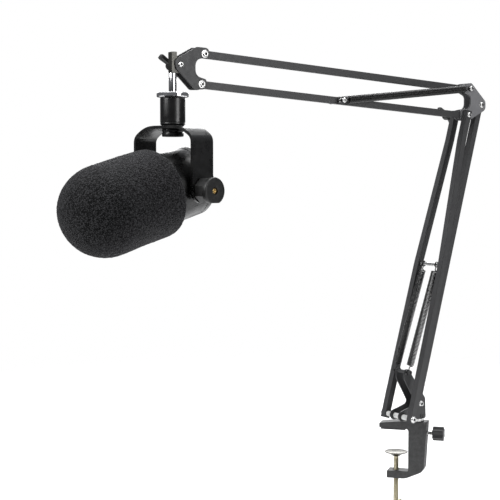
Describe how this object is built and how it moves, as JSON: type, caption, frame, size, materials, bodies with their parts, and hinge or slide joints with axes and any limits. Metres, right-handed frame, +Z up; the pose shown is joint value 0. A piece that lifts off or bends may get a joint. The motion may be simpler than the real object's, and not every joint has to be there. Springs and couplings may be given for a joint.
{
  "type": "microphone with boom arm",
  "caption": "Broadcast microphone with a foam windscreen in a swivelling yoke, hung from a spring-balanced two-section boom arm with a desk clamp",
  "frame": {"origin": "on the contact face of the upper clamp jaw's pad, over the axis of the clamp screw", "axes": "+Z up; the desk goes into the clamp along +X from the open side at -X; -Z is the outward normal of the upper jaw's contact face"},
  "size_m": [0.3466, 0.4473, 0.5121],
  "materials": {
    "clamp_cast": "black textured paint",
    "jaw_rubber": "matte",
    "pad_chrome": "polished",
    "screw_steel": "threaded, zinc plated",
    "lock_steel": "satin",
    "knob_plastic": "moulded",
    "arm_coat": "fine satin powder coat",
    "bolt_steel": "zinc plated",
    "spacer_nylon": "white nylon",
    "spring_black": "blackened steel",
    "stem_chrome": "polished",
    "mic_satin": "satin black",
    "pivot_black": "moulded",
    "pivot_brass": "bright",
    "connector_metal": "nickel plated",
    "board_green": "solder mask",
    "basket_metal": "woven wire",
    "capsule_gold": "satin",
    "foam_black": "open-cell foam"
  },
  "bodies": {
    "clamp": {"clamp_body": "clamp_cast", "jaw_pad": "jaw_rubber"},
    "screw_pad": {"clamp_pad": "pad_chrome"},
    "screw": {"clamp_screw": "screw_steel"},
    "tommy": {"tommy_bar": "screw_steel"},
    "lock": {"lock_screw": "lock_steel", "lock_knob": "knob_plastic"},
    "base": {"swivel_post": "bolt_steel", "base_plate_near": "arm_coat", "base_plate_far": "arm_coat", "hub_rivet": "bolt_steel", "base_axle": "bolt_steel", "base_spacer_mid": "spacer_nylon", "base_spacer_near": "spacer_nylon", "base_spacer_far": "spacer_nylon", "base_rear_bolt": "bolt_steel", "ear_pin": "bolt_steel"},
    "front_link": {"front_bar_near": "arm_coat", "front_bar_far": "arm_coat", "cross_pin": "bolt_steel", "lower_spring_near": "spring_black", "lower_spring_far": "spring_black"},
    "rear_link": {"rear_bar": "arm_coat"},
    "elbow": {"elbow_plate_near": "arm_coat", "elbow_plate_far": "arm_coat", "elbow_front_bolt": "bolt_steel", "elbow_rear_bolt": "bolt_steel", "elbow_top_bolt": "bolt_steel"},
    "elbow_knob": {"elbow_wing_knob": "knob_plastic"},
    "lower_bar": {"upper_bar_bottom": "arm_coat", "upper_spring_pin": "bolt_steel", "upper_spring_near": "spring_black", "upper_spring_far": "spring_black"},
    "upper_bar": {"upper_bar_top": "arm_coat"},
    "head": {"head_plate_near": "arm_coat", "head_plate_far": "arm_coat", "head_lower_bolt": "bolt_steel", "head_upper_bolt": "bolt_steel", "nose_bolt": "bolt_steel"},
    "tilt_knob": {"tilt_knob": "knob_plastic"},
    "stem": {"stem_knuckle": "arm_coat", "stem": "stem_chrome"},
    "hanger": {"flange_nut": "stem_chrome", "collar": "mic_satin", "yoke": "mic_satin", "yoke_nut": "mic_satin", "pivot_spacer_near": "pivot_black", "pivot_spacer_far": "pivot_black", "pivot_screw_near": "pivot_brass", "pivot_screw_far": "pivot_brass"},
    "mic": {"body_shell": "mic_satin", "rear_cap": "mic_satin", "xlr_insert": "connector_metal", "circuit_board": "board_green", "grille_basket": "basket_metal", "capsule": "capsule_gold", "capsule_cradle": "jaw_rubber", "foam_windscreen": "foam_black"},
    "near_knob": {"pivot_knob_near": "pivot_black"},
    "far_knob": {"pivot_knob_far": "pivot_black"}
  },
  "joints": [
    {"name": "pad_travel", "type": "slide", "parent": "clamp", "child": "screw_pad", "axis": [0, 0, 1], "range_m": [-0.014, 0.0225]},
    {"name": "screw_turn", "type": "hinge", "parent": "screw_pad", "child": "screw", "pos_m": [0, 0, -0.05], "axis": [0, 0, 1], "continuous": true},
    {"name": "tommy_slide", "type": "slide", "parent": "screw", "child": "tommy", "axis": [0, 1, 0], "range_m": [-0.013, 0.013]},
    {"name": "lock_knob_turn", "type": "hinge", "parent": "clamp", "child": "lock", "pos_m": [0.04, 0, -0.003], "axis": [1, 0, 0], "continuous": true},
    {"name": "base_swivel", "type": "hinge", "parent": "clamp", "child": "base", "pos_m": [0.024, 0, 0.009], "axis": [0, 0, 1], "continuous": true},
    {"name": "lower_arm", "type": "hinge", "parent": "base", "child": "front_link", "pos_m": [0.00606, -0.02215, 0.019], "axis": [-0.7771, 0.6293, 0], "range_deg": [-30, 20], "deforming": ["lower_spring_near", "lower_spring_far"]},
    {"name": "rear_link_follow", "type": "hinge", "parent": "base", "child": "rear_link", "pos_m": [0.02306, -0.00117, 0.0314], "axis": [-0.7771, 0.6293, 0], "range_deg": [-30, 20]},
    {"name": "elbow_level", "type": "hinge", "parent": "front_link", "child": "elbow", "pos_m": [0.06295, 0.04811, 0.3573], "axis": [-0.7771, 0.6293, 0], "range_deg": [-20, 30]},
    {"name": "elbow_knob_turn", "type": "hinge", "parent": "elbow", "child": "elbow_knob", "pos_m": [0.06295, 0.04811, 0.3573], "axis": [-0.7771, 0.6293, 0], "continuous": true},
    {"name": "upper_arm", "type": "hinge", "parent": "elbow", "child": "lower_bar", "pos_m": [0.06295, 0.04811, 0.3573], "axis": [-0.7771, 0.6293, 0], "range_deg": [-30, 20], "deforming": ["upper_spring_near", "upper_spring_far"]},
    {"name": "top_bar_follow", "type": "hinge", "parent": "elbow", "child": "upper_bar", "pos_m": [0.06516, 0.05083, 0.3873], "axis": [-0.7771, 0.6293, 0], "range_deg": [-30, 20]},
    {"name": "head_level", "type": "hinge", "parent": "lower_bar", "child": "head", "pos_m": [-0.1569, -0.22339, 0.37867], "axis": [-0.7771, 0.6293, 0], "range_deg": [-20, 30]},
    {"name": "tilt_knob_turn", "type": "hinge", "parent": "head", "child": "tilt_knob", "pos_m": [-0.17231, -0.24243, 0.39697], "axis": [-0.7771, 0.6293, 0], "continuous": true},
    {"name": "stem_tilt", "type": "hinge", "parent": "head", "child": "stem", "pos_m": [-0.17231, -0.24243, 0.39697], "axis": [-0.7771, 0.6293, 0], "range_deg": [-12, 12]},
    {"name": "mic_swivel", "type": "hinge", "parent": "stem", "child": "hanger", "pos_m": [-0.17609, -0.24709, 0.36967], "axis": [0, 0, 1], "range_deg": [-90, 90]},
    {"name": "mic_tilt", "type": "hinge", "parent": "hanger", "child": "mic", "pos_m": [-0.17609, -0.24709, 0.27367], "axis": [-0.8988, 0.4384, 0], "range_deg": [-50, 25]},
    {"name": "near_knob_turn", "type": "hinge", "parent": "hanger", "child": "near_knob", "pos_m": [-0.17609, -0.24709, 0.27367], "axis": [-0.8988, 0.4384, 0], "continuous": true},
    {"name": "far_knob_turn", "type": "hinge", "parent": "hanger", "child": "far_knob", "pos_m": [-0.17609, -0.24709, 0.27367], "axis": [-0.8988, 0.4384, 0], "continuous": true}
  ],
  "couplings": [
    {"joint": "rear_link_follow", "follows": "lower_arm", "ratio": 1},
    {"joint": "elbow_level", "follows": "lower_arm", "ratio": -1},
    {"joint": "top_bar_follow", "follows": "upper_arm", "ratio": 1},
    {"joint": "head_level", "follows": "upper_arm", "ratio": -1}
  ]
}
